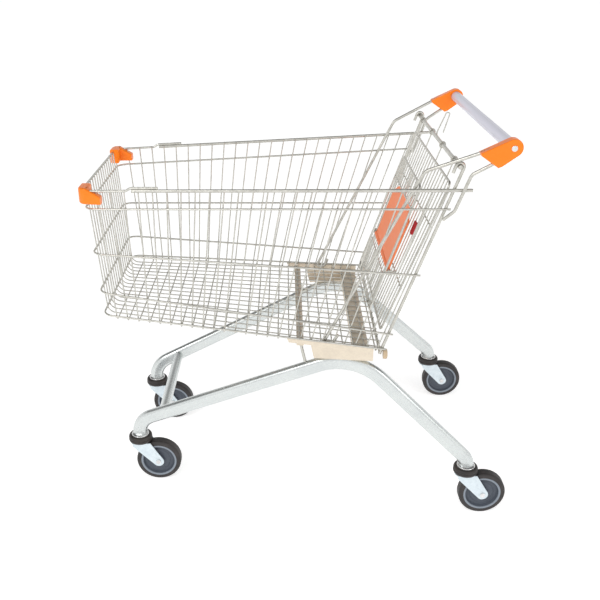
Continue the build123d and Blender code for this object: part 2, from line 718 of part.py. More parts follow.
def upper_rod_path(side):
    """From its hooked foot inside the basket wall up to its bend, then back to the handle bracket."""
    foot_x = 504.0
    bend_x = 721.0
    foot_z = cross_wire_z(foot_x) + WIRE_D / 2 + WIRE_GAP + ROD_D / 2
    tip = wall(foot_x + FOOT_LONG + FOOT_TALL / 2, foot_z + FOOT_TALL, UPPER_ROD_OUT, side)
    heel = wall(foot_x + FOOT_LONG, foot_z, UPPER_ROD_OUT, side)
    foot = wall(foot_x, foot_z, UPPER_ROD_OUT, side)
    bend = wall(bend_x, 934.0, UPPER_ROD_OUT, side)
    end = Vector(853, side * BRACKET_Y, 994.0)
    return [tip, heel, foot, bend, end], [5.0, 5.0, 25.0]


def lower_rod_path(side):
    """From the rear edge rod back and up, outside the rim, to the handle bracket."""
    tip_z = 826.0
    tip = wall(edge_x(tip_z) + 2, tip_z, HOOP_OUT + HOOP_D / 2 + ROD_D / 2 - 2.2, side)
    low = wall(791, 849, LOWER_ROD_OUT, side)
    bend = wall(821, 935, LOWER_ROD_OUT, side)
    end = Vector(880, side * BRACKET_Y, 972.0)
    return [tip, low, bend, end], [12.0, 20.0]


def handle_core():
    reach = BRACKET_Y - BRACKET_THICK / 2 + POCKET_DEPTH - WIRE_GAP
    plane = Plane((HANDLE_X, -reach, HANDLE_Z), z_dir=(0, 1, 0))
    tube = Solid.make_cylinder(CORE_D / 2, 2 * reach, plane)
    return tube - Solid.make_cylinder(CORE_D / 2 - CORE_WALL, 2 * reach, plane)


def handle_grip():
    reach = BRACKET_Y - BRACKET_THICK / 2 + POCKET_DEPTH - 1
    plane = Plane((HANDLE_X, -reach, HANDLE_Z), z_dir=(0, 1, 0))
    tube = Solid.make_cylinder(GRIP_D / 2, 2 * reach, plane)
    return tube - Solid.make_cylinder(CORE_D / 2 + WIRE_GAP, 2 * reach, plane)


def handle_rivets():
    found = []
    outer_y = BRACKET_Y + BRACKET_THICK / 2
    for side in (-1, 1):
        face = Plane((HANDLE_X, side * (outer_y + WIRE_GAP / 2), HANDLE_Z), z_dir=(0, side, 0))
        head = Solid.make_cylinder(7, 2.5, face)
        head = fillet(head.edges().filter_by(GeomType.CIRCLE).sort_by(Axis.Y)[0 if side < 0 else -1], 2)
        back = Plane((HANDLE_X, side * (outer_y + 1), HANDLE_Z), z_dir=(0, -side, 0))
        found.append(head + Solid.make_cylinder(3, BRACKET_THICK - POCKET_DEPTH + 7, back))
    return found


# ---- gate and seat pieces ----

def hinge_bar():
    reach = half_width(HINGE_X) + EDGE_ROD_OUT + ROD_D / 2 + 2
    return run(HINGE - Vector(0, reach, 0), HINGE + Vector(0, reach, 0), HINGE_D)


def gate_half(w):
    return GATE_HALF_TOP + (GATE_HALF_LOW - GATE_HALF_TOP) * (w - GATE_TOP) / (GATE_BOTTOM - GATE_TOP)


def gate_wire_share(index):
    return share((-GATE_WIRE_SPAN, GATE_WIRE_SPAN), index, GATE_WIRES)


def gate_frame():
    """Closed frame of the gate in four mitred runs."""
    top = GATE_HALF_TOP
    low = GATE_HALF_LOW
    corners = [gate_point(0, -top, GATE_TOP), gate_point(0, top, GATE_TOP)]
    corners += [gate_point(0, low, GATE_BOTTOM), gate_point(0, -low, GATE_BOTTOM)]
    found = []
    for index in range(4):
        before, start, end, after = [corners[(index + step) % 4] for step in (-1, 0, 1, 2)]
        first = (direction(before, start) + direction(start, end)).normalized()
        last = (direction(start, end) + direction(end, after)).normalized()
        found.append(run(start, end, GATE_ROD_D, first, last))
    return found


def gate_wires():
    """Upright wires between the top and bottom rods, and two cross wires behind them."""
    found = []
    margin = GATE_ROD_D / 2 + 2 * WIRE_GAP
    for index in range(GATE_WIRES):
        y_share = gate_wire_share(index)
        top = gate_point(0, y_share * GATE_HALF_TOP, GATE_TOP + margin)
        foot = gate_point(0, y_share * GATE_HALF_LOW, GATE_BOTTOM - margin)
        found.append(run(top, foot, WIRE_D))
    behind = -(WIRE_D + WIRE_GAP)
    for w in (GATE_TOP + 115, GATE_BOTTOM - 125):
        reach = gate_half(w) - GATE_ROD_D / 2 - 3 * WIRE_GAP
        found.append(run(gate_point(behind, -reach, w), gate_point(behind, reach, w), WIRE_D))
    return found


def gate_eyes():
    """Rings round the hinge bar, each with a short shank down to the gate's top rod."""
    found = []
    ring_r = HINGE_D / 2 + EYE_GAP + WIRE_D / 2
    for y in (-225, -75, 75, 225):
        centre = gate_point(0, y, 0)
        ring = Solid.make_torus(ring_r, WIRE_D / 2, Plane(centre, z_dir=(0, 1, 0)))
        shank = run(gate_point(0, y, ring_r), gate_point(0, y, GATE_TOP - GATE_ROD_D / 2 - WIRE_GAP), WIRE_D)
        found.append(ring + shank)
    return found


def bag_hook():
    """Hairpin of wire on the hinge bar, for hanging a bag behind the seat."""
    foot = HINGE + Vector(HINGE_D / 2 + WIRE_GAP + WIRE_D / 2, HOOK_Y, -8)
    knee = foot + Vector(0, 0, 14)
    crest = knee + Vector(20, 0, 50)
    shoulder = crest + Vector(10, 0, 0)
    tip = shoulder - Vector(14, 0, 52)
    return curved_rod([foot, knee, crest, shoulder, tip], [5.0, 4.0, 4.0], WIRE_D)


def seat_back():
    """Wire backrest: a frame that turns on the gate near its foot, open in front of the seat."""
    low = SEAT_BACK_HINGE_W
    top = SEAT_BACK_HINGE_W - SEAT_BACK_LENGTH
    n = SEAT_BACK_N
    half = SEAT_BACK_HALF
    corners = [gate_point(n, -half, top), gate_point(n, half, top)]
    corners += [gate_point(n, half, low), gate_point(n, -half, low)]
    frame = []
    for index in range(4):
        before, start, end, after = [corners[(index + step) % 4] for step in (-1, 0, 1, 2)]
        first = (direction(before, start) + direction(start, end)).normalized()
        last = (direction(start, end) + direction(end, after)).normalized()
        frame.append(run(start, end, GATE_ROD_D, first, last))
    wires = []
    margin = GATE_ROD_D / 2 + WIRE_GAP
    cross_margin = WIRE_D / 2 + WIRE_GAP
    for w in SEAT_WINDOW:
        wires.append(run(gate_point(n, margin - half, w), gate_point(n, half - margin, w), WIRE_D))
    for index in range(1, 10):
        y = -half + 2 * half * index / 10
        above = (top + margin, SEAT_WINDOW[0] - cross_margin)
        below = (SEAT_WINDOW[1] + cross_margin, low - margin)
        for start, end in (above, below):
            wires.append(run(gate_point(n, y, start), gate_point(n, y, end), WIRE_D))
    return frame, wires


def seat_back_ears():
    """Eyes on the gate that hold the backrest's lower rod."""
    found = []
    ring_r = GATE_ROD_D / 2 + EYE_GAP + WIRE_D / 2
    for y in (-120, 120):
        centre = gate_point(SEAT_BACK_N, y, SEAT_BACK_HINGE_W)
        ring = Solid.make_torus(ring_r, WIRE_D / 2, Plane(centre, z_dir=(0, 1, 0)))
        start = gate_point(SEAT_BACK_N - ring_r, y, SEAT_BACK_HINGE_W)
        end = gate_point(WIRE_D / 2 + WIRE_GAP, y, SEAT_BACK_HINGE_W)
        found.append(ring + run(start, end, WIRE_D))
    return found


def seat_leg_y():
    """The legs of the seat's pin stand on two of the gate's upright wires."""
    return gate_half(SEAT_HINGE_W) * gate_wire_share(SEAT_LEG_WIRE)


def seat_half_low():
    return seat_leg_y() - SEAT_LEG_D / 2 - 1


def seat_plate():
    """Moulded seat: a thin board with clipped top corners and a barrel along its hinge."""
    n = SEAT_N
    plane = Plane(origin=gate_point(n - SEAT_THICK / 2, 0, SEAT_HINGE_W), x_dir=(0, 1, 0), z_dir=FORWARD)
    rise = 1 if plane.y_dir.dot(UP) > 0 else -1
    top = SEAT_LENGTH * rise
    low, high = seat_half_low(), SEAT_HALF_TOP
    clip = top - SEAT_CLIP * rise
    outline = [(-low, 0), (low, 0), (low, clip), (high, top), (-high, top), (-low, clip)]
    board = extrude(plane * make_face(Polyline(*outline, close=True)), amount=SEAT_THICK)
    barrel_plane = Plane(gate_point(n, -low, SEAT_HINGE_W), z_dir=(0, 1, 0))
    board = board + Solid.make_cylinder(6, 2 * low, barrel_plane)
    return board - Solid.make_cylinder(3 + WIRE_GAP, 2 * low, barrel_plane)


def seat_pin():
    """Hinge pin of the seat, with a round knob at each end and two legs back to the gate."""
    reach = seat_half_low() + SEAT_PIN_OUT
    pin = run(gate_point(SEAT_N, -reach, SEAT_HINGE_W), gate_point(SEAT_N, reach, SEAT_HINGE_W), 6)
    for side in (-1, 1):
        centre = gate_point(SEAT_N, side * reach, SEAT_HINGE_W)
        pin = pin + Solid.make_cylinder(7, 6, Plane(centre, z_dir=(0, side, 0)))
        start = gate_point(SEAT_N, side * seat_leg_y(), SEAT_HINGE_W)
        end = gate_point(WIRE_D / 2 + WIRE_GAP, side * seat_leg_y(), SEAT_HINGE_W)
        pin = pin + run(start, end, SEAT_LEG_D)
    return pin


def belt_clip():
    """Flat clip of the child belt, on the gate beside the seat."""
    centre = gate_point(WIRE_D / 2 + WIRE_GAP + 2, -BELT_Y, BELT_W)
    plane = Plane(origin=centre, x_dir=(0, 1, 0), z_dir=FORWARD)
    return extrude(plane * RectangleRounded(BELT_WIDE, BELT_TALL, 4), amount=2, both=True)


def build():
    os.makedirs("parts", exist_ok=True)
    sides = {"left": -1, "right": 1}
    places = stem_places()

    for name, side in sides.items():
        save(f"side_frame_{name}", side_frame(side))
        save(f"support_plate_{name}", support_plate(side))
        save(f"corner_bumper_{name}", corner_bumper(side))
        save(f"handle_bracket_{name}", bracket(side))
    save("side_rims", [side_rim(side) for side in (-1, 1)])
    save("upper_handle_rods", [curved_rod(*upper_rod_path(side), ROD_D) for side in (-1, 1)])
    save("lower_handle_rods", [curved_rod(*lower_rod_path(side), ROD_D) for side in (-1, 1)])
    save("front_cross_tube", front_cross_tube())
    save("front_cross_bar", front_cross_bar())
    save("rear_cross_bar", rear_cross_bar())
    save("struts", struts())

    rings = []
    stems = []
    for name, place in places.items():
        side = -1 if place.Y < 0 else 1
        rings.append(bumper_ring(side).moved(Location(place)))
        stems.append(caster_stem().moved(Location(place)))
        save(f"fork_{name}", fork().moved(Location(place)))
        save(f"axle_{name}", axle_bolt().moved(Location(place)))
        save(f"wheel_core_{name}", wheel_core().moved(Location(place)))
        save(f"tyre_{name}", tyre().moved(Location(place)))
    save("bumper_rings", rings)
    save("caster_stems", stems)

    walls, cross_wires = basket_wires()
    save("side_wires_left", walls[-1])
    save("side_wires_right", walls[1])
    save("floor_cross_wires", cross_wires)
    front_wires, long_wires = front_and_long_wires()
    save("front_wires", front_wires)
    save("floor_long_wires", long_wires)
    save("hoop_upper", hoop(hoop_2_z, edge_x(hoop_2_z(HINGE_X)) + 10, HOOP_OUT, HOOP_D))
    save("hoop_middle", hoop(hoop_3_z, edge_x(hoop_3_z(FLOOR_REAR_X)) + 9, HOOP_OUT, HOOP_D))
    save("hoop_lower", hoop(hoop_4_z, edge_x(hoop_4_z(FLOOR_REAR_X)) + 9, HOOP_OUT, HOOP_D))
    save("hoop_floor", hoop(low_hoop_z, edge_x(low_hoop_z(FLOOR_REAR_X)) + 9, HOOP_OUT, HOOP_D))
    save("front_rim_rod", front_rim_rod())
    save("rear_edge_rods", edge_rods())
    save("floor_rear_rod", floor_rear_rod())
    save("corner_pads", corner_pads())

    save("handle_core", handle_core())
    save("handle_grip", handle_grip())
    save("handle_rivets", handle_rivets())

    save("hinge_bar", hinge_bar())
    save("bag_hook", bag_hook())
    save("gate_frame", gate_frame())
    save("gate_wires", gate_wires())
    save("gate_eyes", gate_eyes())
    save("seat_back_ears", seat_back_ears())
    back_frame, back_wires = seat_back()
    save("seat_back_frame", back_frame)
    save("seat_back_wires", back_wires)
    save("seat_plate", seat_plate())
    save("seat_pin", seat_pin())
    save("belt_clip", belt_clip())


build()
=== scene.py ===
"""Supermarket trolley: bent wires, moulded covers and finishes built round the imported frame."""
import json
import logging
import math
from dataclasses import dataclass, field
from enum import Enum
from typing import Any, Callable, Iterable, Sequence

import bmesh
import bpy
from mathutils import Matrix, Vector


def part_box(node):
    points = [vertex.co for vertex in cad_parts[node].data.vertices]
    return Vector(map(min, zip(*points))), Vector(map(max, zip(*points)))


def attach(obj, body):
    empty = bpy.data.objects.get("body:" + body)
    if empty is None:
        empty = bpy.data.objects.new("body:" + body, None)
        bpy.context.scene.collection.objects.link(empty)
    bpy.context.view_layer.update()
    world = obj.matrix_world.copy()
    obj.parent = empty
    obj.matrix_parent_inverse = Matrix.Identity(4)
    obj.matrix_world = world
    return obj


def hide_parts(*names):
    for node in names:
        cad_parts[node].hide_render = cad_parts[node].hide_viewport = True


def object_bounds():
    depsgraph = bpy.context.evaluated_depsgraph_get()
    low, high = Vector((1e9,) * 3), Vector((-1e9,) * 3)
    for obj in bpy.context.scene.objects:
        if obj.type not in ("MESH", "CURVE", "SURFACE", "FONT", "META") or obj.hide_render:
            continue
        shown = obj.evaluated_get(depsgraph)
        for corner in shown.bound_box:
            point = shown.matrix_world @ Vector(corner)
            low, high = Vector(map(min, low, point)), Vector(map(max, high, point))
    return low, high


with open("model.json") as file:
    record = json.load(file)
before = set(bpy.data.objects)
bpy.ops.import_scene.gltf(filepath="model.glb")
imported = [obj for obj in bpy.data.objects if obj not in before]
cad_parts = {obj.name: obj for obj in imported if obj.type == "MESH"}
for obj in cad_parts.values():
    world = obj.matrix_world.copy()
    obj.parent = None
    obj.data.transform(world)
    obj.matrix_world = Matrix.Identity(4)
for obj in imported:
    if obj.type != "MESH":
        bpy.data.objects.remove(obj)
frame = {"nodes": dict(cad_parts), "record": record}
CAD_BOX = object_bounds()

log = logging.getLogger("trolley")
Path = list[Vector]
Colour = tuple[float, float, float]


class Body(str, Enum):
    """Moving bodies that new pieces ride on."""

    TROLLEY = "trolley"
    GATE = "gate"
    SEAT_BACK = "seat_back"
    WHEEL_FRONT_LEFT = "wheel_front_left"
    WHEEL_FRONT_RIGHT = "wheel_front_right"
    WHEEL_REAR_LEFT = "wheel_rear_left"
    WHEEL_REAR_RIGHT = "wheel_rear_right"


class Slot(str, Enum):
    """Material slots of the record."""

    WIRE = "zinc_wire"
    TUBE = "zinc_tube"
    SHEET = "zinc_sheet"
    ORANGE = "orange_plastic"
    SEAT = "seat_plastic"
    GRIP = "grip_plastic"
    BELT = "belt_red"
    STEEL = "bright_steel"
    FORK = "fork_zinc"
    RING = "ring_rubber"
    TYRE = "tyre"
    CORE = "wheel_plastic"
    PAD = "pad_plastic"


# ---------------------------------------------------------------- shader maths


class Value:
    """A socket of a shader tree that takes part in Python expressions."""

    def __init__(self, graph: "ShaderGraph", socket: Any) -> None:
        """Keep the socket and the graph that owns it."""
        self.graph = graph
        self.socket = socket

    def _math(self, operation: str, *values: Any) -> "Value":
        """Add one Math node for an expression."""
        return self.graph.add("ShaderNodeMath", {"operation": operation}, dict(enumerate(values)))

    def __add__(self, other: Any) -> "Value":
        """Sum."""
        return self._math("ADD", self, other)

    __radd__ = __add__

    def __sub__(self, other: Any) -> "Value":
        """Difference."""
        return self._math("SUBTRACT", self, other)

    def __rsub__(self, other: Any) -> "Value":
        """Difference from a number."""
        return self._math("SUBTRACT", other, self)

    def __mul__(self, other: Any) -> "Value":
        """Product."""
        return self._math("MULTIPLY", self, other)

    __rmul__ = __mul__

    def clamped(self) -> "Value":
        """The value held between 0 and 1."""
        return self._math("MAXIMUM", self._math("MINIMUM", self, 1.0), 0.0)


class ShaderGraph:
    """A node tree, written through one method for every node."""

    def __init__(self, tree: bpy.types.ShaderNodeTree) -> None:
        """Start from an empty tree."""
        self.tree = tree
        self.nodes = tree.nodes
        self.nodes.clear()

    def plug(self, socket: Any, value: Any) -> None:
        """Link a value to a socket, or set the socket's own constant."""
        if isinstance(value, Value):
            self.tree.links.new(value.socket, socket)
        else:
            socket.default_value = value

    def add(self, kind: str, settings: dict[str, Any], inputs: dict[Any, Any], output: Any = 0) -> Value:
        """Add a node.

        Args:
            kind: Blender's name of the node type.
            settings: Attributes set before the sockets.
            inputs: Values or links by socket name or number.
            output: Name or number of the socket to return.

        Returns:
            The output socket as a value.
        """
        node = self.nodes.new(kind)
        for key, setting in settings.items():
            setattr(node, key, setting)
        for key, value in inputs.items():
            self.plug(node.inputs[key], value)
        return Value(self, node.outputs[output])

    def place(self, scale: tuple[float, float, float] = (1, 1, 1)) -> Value:
        """Object coordinates, stretched by a scale on each axis."""
        where = self.add("ShaderNodeTexCoord", {}, {}, "Object")
        return self.add("ShaderNodeMapping", {}, {"Vector": where, "Scale": scale})

    def noise(self, where: Value, scale: float, detail: float = 3.0, rough: float = 0.5) -> Value:
        """Fractal noise from 0 to 1."""
        inputs = {"Vector": where, "Scale": scale, "Detail": detail, "Roughness": rough}
        return self.add("ShaderNodeTexNoise", {}, inputs, 0)

    def cells(self, where: Value, scale: float) -> Value:
        """One random number for each cell of a Voronoi pattern."""
        colour = self.add("ShaderNodeTexVoronoi", {}, {"Vector": where, "Scale": scale}, "Color")
        return self.add("ShaderNodeSeparateColor", {}, {"Color": colour}, 0)

    def blend(self, share: Value, low: Colour, high: Colour) -> Value:
        """Mix two colours by a share from 0 to 1."""
        settings = {"data_type": "RGBA"}
        inputs = {0: share, 6: (*low, 1.0), 7: (*high, 1.0)}
        return self.add("ShaderNodeMix", settings, inputs, 2)

    def ramp(self, value: Value, low: float, high: float) -> Value:
        """The value stretched so that low becomes 0 and high becomes 1."""
        return ((value - low) * (1.0 / (high - low))).clamped()


class Surface(ShaderGraph):
    """A material with one Principled shader."""

    def __init__(self, name: str) -> None:
        """Make an empty material with a Principled shader and its output."""
        self.material = bpy.data.materials.new(name)
        self.material.use_nodes = True
        super().__init__(self.material.node_tree)
        output = self.nodes.new("ShaderNodeOutputMaterial")
        self.shader = self.nodes.new("ShaderNodeBsdfPrincipled")
        self.tree.links.new(self.shader.outputs[0], output.inputs[0])

    def finish(self, bump: Value | None = None, depth: float = 0.0, **sockets: Any) -> bpy.types.Material:
        """Fill the Principled shader.

        Args:
            bump: Height of a Bump node, or None for a smooth surface.
            depth: How far the bump reaches, in metres.
            sockets: Values by Principled socket name, with _ for a space.

        Returns:
            The finished material.
        """
        for key, value in sockets.items():
            self.plug(self.shader.inputs[key.replace("_", " ")], value)
        if bump is not None:
            inputs = {"Height": bump, "Strength": 0.6, "Distance": depth}
            self.plug(self.shader.inputs["Normal"], self.add("ShaderNodeBump", {}, inputs, "Normal"))
        return self.material


# ---------------------------------------------------------------- finishes


@dataclass(frozen=True)
class Zinc:
    """Zinc plating: soft blotches, drawing marks and a dulled, slightly uneven gloss."""

    name: str
    light: Colour
    dark: Colour
    rough_low: float = 0.24
    rough_high: float = 0.44
    blotch: float = 40.0
    streak: tuple[float, float, float] = (1.0, 1.0, 1.0)
    metal: float = 0.92
    relief: float = 0.00006

    def build(self) -> bpy.types.Material:
        """Build the plating's material.

        Returns:
            The finished material.
        """
        graph = Surface(self.name)
        where = graph.place()
        cloud = graph.noise(where, self.blotch, 4.0)
        marks = graph.noise(graph.place(self.streak), 900.0, 2.0)
        spangle = graph.cells(where, 260.0)
        share = graph.ramp(cloud * 0.6 + marks * 0.25 + spangle * 0.15, 0.32, 0.66)
        rough = graph.ramp(cloud * 0.5 + marks * 0.5, 0.3, 0.7) * (self.rough_high - self.rough_low)
        return graph.finish(
            bump=marks * 0.7 + spangle * 0.3,
            depth=self.relief,
            Base_Color=graph.blend(share, self.dark, self.light),
            Roughness=rough + self.rough_low,
            Metallic=self.metal,
        )


@dataclass(frozen=True)
class Moulding:
    """Moulded plastic: fine spark-eroded grain, flow marks and rubbed patches."""

    name: str
    colour: Colour
    worn: Colour
    rough: float = 0.34
    grain: float = 1400.0
    depth: float = 0.00005
    coat: float = 0.06

    def build(self) -> bpy.types.Material:
        """Build the plastic's material.

        Returns:
            The finished material.
        """
        graph = Surface(self.name)
        where = graph.place()
        grain = graph.noise(where, self.grain, 2.0)
        flow = graph.noise(graph.place((1.0, 1.0, 3.0)), 14.0, 3.0)
        scuff = graph.ramp(graph.noise(graph.place((8.0, 1.0, 1.0)), 90.0, 5.0, 0.7), 0.58, 0.74)
        share = (flow * 0.5 + scuff * 0.35).clamped()
        return graph.finish(
            bump=grain,
            depth=self.depth,
            Base_Color=graph.blend(share, self.colour, self.worn),
            Roughness=(scuff * 0.18 + flow * 0.1 + (self.rough - 0.05)).clamped(),
            Coat_Weight=self.coat,
            Coat_Roughness=0.25,
            Specular_IOR_Level=0.35,
        )


@dataclass(frozen=True)
class Rubber:
    """Matte rubber with mould grain and floor dust caught in it."""

    name: str
    colour: Colour
    dust: Colour
    rough: float = 0.6
    dust_share: float = 0.35

    def build(self) -> bpy.types.Material:
        """Build the rubber's material.

        Returns:
            The finished material.
        """
        graph = Surface(self.name)
        where = graph.place()
        grain = graph.noise(where, 700.0, 3.0)
        cloud = graph.noise(where, 32.0, 4.0, 0.6)
        dust = graph.ramp(cloud * 0.7 + grain * 0.3, 0.45, 0.72) * self.dust_share
        return graph.finish(
            bump=grain,
            depth=0.0001,
            Base_Color=graph.blend(dust, self.colour, self.dust),
            Roughness=(cloud * 0.2 + (self.rough - 0.1)).clamped(),
        )


@dataclass(frozen=True)
class Webbing:
    """Woven belt webbing: fine ribs across, darker between the threads."""

    name: str
    colour: Colour
    thread: Colour

    def build(self) -> bpy.types.Material:
        """Build the webbing's material.

        Returns:
            The finished material.
        """
        graph = Surface(self.name)
        where = graph.place()
        inputs = {"Vector": where, "Scale": 420.0, "Distortion": 0.4}
        ribs = graph.add("ShaderNodeTexWave", {"bands_direction": "Z"}, inputs, 1)
        fuzz = graph.noise(where, 1500.0, 2.0)
        return graph.finish(
            bump=ribs * 0.7 + fuzz * 0.3,
            depth=0.0003,
            Base_Color=graph.blend(ribs, self.colour, self.thread),
            Roughness=0.8,
        )


@dataclass(frozen=True)
class Floor:
    """Pale studio floor with a barely visible unevenness."""

    name: str = "studio_floor"
    glow: float = 0.60

    def build(self) -> bpy.types.Material:
        """Build the floor's material.

        Returns:
            The finished material.
        """
        graph = Surface(self.name)
        cloud = graph.noise(graph.place(), 0.8, 2.0)
        colour = graph.blend(cloud, (0.80, 0.80, 0.80), (0.84, 0.84, 0.84))
        return graph.finish(
            Base_Color=colour,
            Roughness=0.8,
            Specular_IOR_Level=0.1,
            Emission_Color=(1.0, 1.0, 1.0, 1.0),
            Emission_Strength=self.glow,
        )


@dataclass(frozen=True)
class Sky:
    """Studio light tent: white all round, with a grey roof that shades the tops of the metal."""

    strength: float = 1.0
    roof: float = 0.16

    def build(self) -> bpy.types.World:
        """Build the world.

        Returns:
            The studio's world.
        """
        world = bpy.data.worlds.new("studio")
        world.use_nodes = True
        graph = ShaderGraph(world.node_tree)
        output = graph.nodes.new("ShaderNodeOutputWorld")
        aim = graph.add("ShaderNodeTexCoord", {}, {}, "Generated")
        depth = graph.add("ShaderNodeSeparateXYZ", {}, {0: aim}, 1)
        height = graph.add("ShaderNodeSeparateXYZ", {}, {0: aim}, 2)
        above = graph.ramp(height, 0.34, 0.56)
        behind = graph.ramp(depth, -0.45, -0.15)
        light = 1.0 - above * behind * (1.0 - self.roof)
        lamp = graph.add("ShaderNodeBackground", {}, {0: (1, 1, 1, 1), 1: light * self.strength})
        graph.plug(output.inputs[0], lamp)
        return world


def finishes() -> dict[Slot, Any]:
    """Finish of every material slot."""
    return {
        Slot.WIRE: Zinc("zinc_wire", (0.67, 0.66, 0.61), (0.47, 0.46, 0.42)),
        Slot.TUBE: Zinc(
            "zinc_tube", (0.69, 0.72, 0.71), (0.61, 0.64, 0.64), 0.22, 0.32, 18.0, (0.05, 1, 1),
            relief=0.00002,
        ),
        Slot.SHEET: Zinc("zinc_sheet", (0.76, 0.67, 0.54), (0.65, 0.57, 0.46), 0.45, 0.6, 26.0, metal=0.0),
        Slot.STEEL: Zinc("bright_steel", (0.82, 0.82, 0.82), (0.60, 0.60, 0.60), 0.18, 0.3, 60.0),
        Slot.FORK: Zinc("fork_zinc", (0.74, 0.82, 0.86), (0.62, 0.70, 0.75), 0.3, 0.45, 70.0, metal=0.6),
        Slot.ORANGE: Moulding("orange_plastic", (1.0, 0.20, 0.001), (1.0, 0.27, 0.015)),
        Slot.SEAT: Moulding(
            "seat_plastic", (1.0, 0.23, 0.065), (1.0, 0.30, 0.12), 0.45, 1000.0, 0.00008, 0.0,
        ),
        Slot.GRIP: Moulding("grip_plastic", (0.65, 0.65, 0.76), (0.73, 0.73, 0.82), 0.3, 900.0, 0.00003, 0.2),
        Slot.CORE: Moulding(
            "wheel_plastic", (0.06, 0.07, 0.09), (0.12, 0.14, 0.17), 0.45, 800.0, 0.0001, 0.0,
        ),
        Slot.PAD: Moulding("pad_plastic", (0.56, 0.42, 0.27), (0.62, 0.50, 0.35), 0.5, 900.0, 0.00008, 0.0),
        Slot.BELT: Webbing("belt_red", (0.35, 0.008, 0.012), (0.52, 0.02, 0.03)),
        Slot.RING: Rubber("ring_rubber", (0.018, 0.014, 0.013), (0.10, 0.075, 0.06), 0.5),
        Slot.TYRE: Rubber("tyre", (0.022, 0.019, 0.019), (0.11, 0.09, 0.085), 0.55),
    }


class Paint:
    """Materials of the trolley, one for each slot."""

    def __init__(self) -> None:
        """Build every finish once."""
        self.materials = {slot: finish.build() for slot, finish in finishes().items()}
        # Lighter grey-blue band material: a painted highlight where the tyre meets the wheel core.
        highlight_band = Moulding("painted_highlight_band_plastic", (0.21, 0.24, 0.28), (0.29, 0.33, 0.38), 0.4, 800.0, 0.0001, 0.0)
        self.highlight_band = highlight_band.build()

    def dress_frame(self) -> None:
        """Give each carried-over node the finish of its slot."""
        for part in frame["record"]["subparts"]:
            mesh = frame["nodes"][part["node"]].data
            mesh.materials.clear()
            mesh.materials.append(self.materials[Slot(part["material_slot"])])


# ---------------------------------------------------------------- sizes


@dataclass(frozen=True)
class BasketShape:
    """Walls, rim, floor and rear edge of the basket. X runs from the front caster stems."""

    front_x: float = -0.081
    bumper_out: float = 0.009
    rim_z_front: float = 0.863
    rim_rise: float = 0.0374
    half_front: float = 0.2117
    taper: float = 0.100
    floor_front_x: float = -0.057
    floor_z_front: float = 0.539
    floor_fall: float = 0.081
    floor_rear_x: float = 0.646
    floor_drop: float = 0.011
    rim_d: float = 0.008
    hoop_d: float = 0.005
    wire_d: float = 0.0035
    rod_d: float = 0.008
    front_rod_d: float = 0.006
    gap: float = 0.00025
    hinge: Vector = field(default_factory=lambda: Vector((0.797, 0.0, 0.948)))
    lean: float = math.radians(18.54)
    hinge_d: float = 0.010
    fit: float = 0.0003

    @property
    def shift(self) -> float:
        """Distance that moves the stems' X to the frame's X."""
        return CAD_BOX[0].x - (self.front_x - self.bumper_out)

    @property
    def wire_out(self) -> float:
        """Offset of the side wires from the rim line."""
        return -(self.rim_d / 2 + self.gap + self.wire_d / 2)

    @property
    def hoop_out(self) -> float:
        """Offset of the hoops from the rim line."""
        return self.wire_out + self.wire_d / 2 + self.gap + self.hoop_d / 2

    def half_width(self, x: float) -> float:
        """Half width at the rim line."""
        return self.half_front + self.taper * (x - self.front_x)

    def rim_z(self, x: float) -> float:
        """Height of the rim."""
        return self.rim_z_front + self.rim_rise * (x - self.front_x)

    def cross_z(self, x: float) -> float:
        """Height of the wires that cross under the floor."""
        return self.low_hoop_z(x) - self.floor_drop

    def long_z(self, x: float) -> float:
        """Height of the wires that run along the floor."""
        return self.cross_z(x) + self.wire_d + self.gap

    def low_hoop_z(self, x: float) -> float:
        """Height of the lowest hoop."""
        return self.floor_z_front - self.floor_fall * (x - self.floor_front_x)

    def sloped(self, z_front: float, z_rear: float) -> Callable[[float], float]:
        """Height of a hoop between its two ends."""
        span = self.floor_rear_x - self.front_x
        return lambda x: z_front + (z_rear - z_front) * (x - self.front_x) / span

    def nose_x(self, z: float) -> float:
        """X of the front panel, which leans forwards towards the rim."""
        lean = (self.floor_front_x - self.front_x) / (self.rim_z_front - self.floor_z_front)
        return self.front_x + (self.rim_z_front - z) * lean

    def edge_x(self, z: float) -> float:
        """X of the rear edge rods."""
        reach = self.hinge_d / 2 + self.fit + self.rod_d / 2
        x = self.hinge.x + math.cos(self.lean) * reach
        top = self.hinge.z - math.sin(self.lean) * reach
        return x - (top - z) * math.tan(self.lean)

    def wall(self, x: float, z: float, out: float, side: int) -> Vector:
        """Point beside a side wall, in the frame's own X."""
        return Vector((x + self.shift, side * (self.half_width(x) + out), z))

    def gate_point(self, n: float, y: float, w: float) -> Vector:
        """Point on the gate: n forwards of the hinge bar, w down along the gate."""
        up = Vector((math.sin(self.lean), 0, math.cos(self.lean)))
        forward = Vector((-math.cos(self.lean), 0, math.sin(self.lean)))
        return self.hinge + Vector((self.shift, y, 0)) + forward * n - up * w


def shares(low: float, high: float, count: int) -> list[float]:
    """Evenly spaced numbers from low to high."""
    return [low + (high - low) * index / (count - 1) for index in range(count)]


# ---------------------------------------------------------------- meshes


def mesh_object(
    name: str, points: Sequence[Any], edges: Sequence[Any], faces: Sequence[Any],
) -> bpy.types.Object:
    """Make and link a mesh object at the origin.

    Args:
        name: Name of the object and its mesh.
        points: Corners, in metres.
        edges: Loose edges as pairs of corner numbers.
        faces: Faces as rings of corner numbers.

    Returns:
        The linked object.
    """
    mesh = bpy.data.meshes.new(name)
    mesh.from_pydata([tuple(point) for point in points], edges, faces)
    mesh.update()
    made = bpy.data.objects.new(name, mesh)
    bpy.context.scene.collection.objects.link(made)
    return made


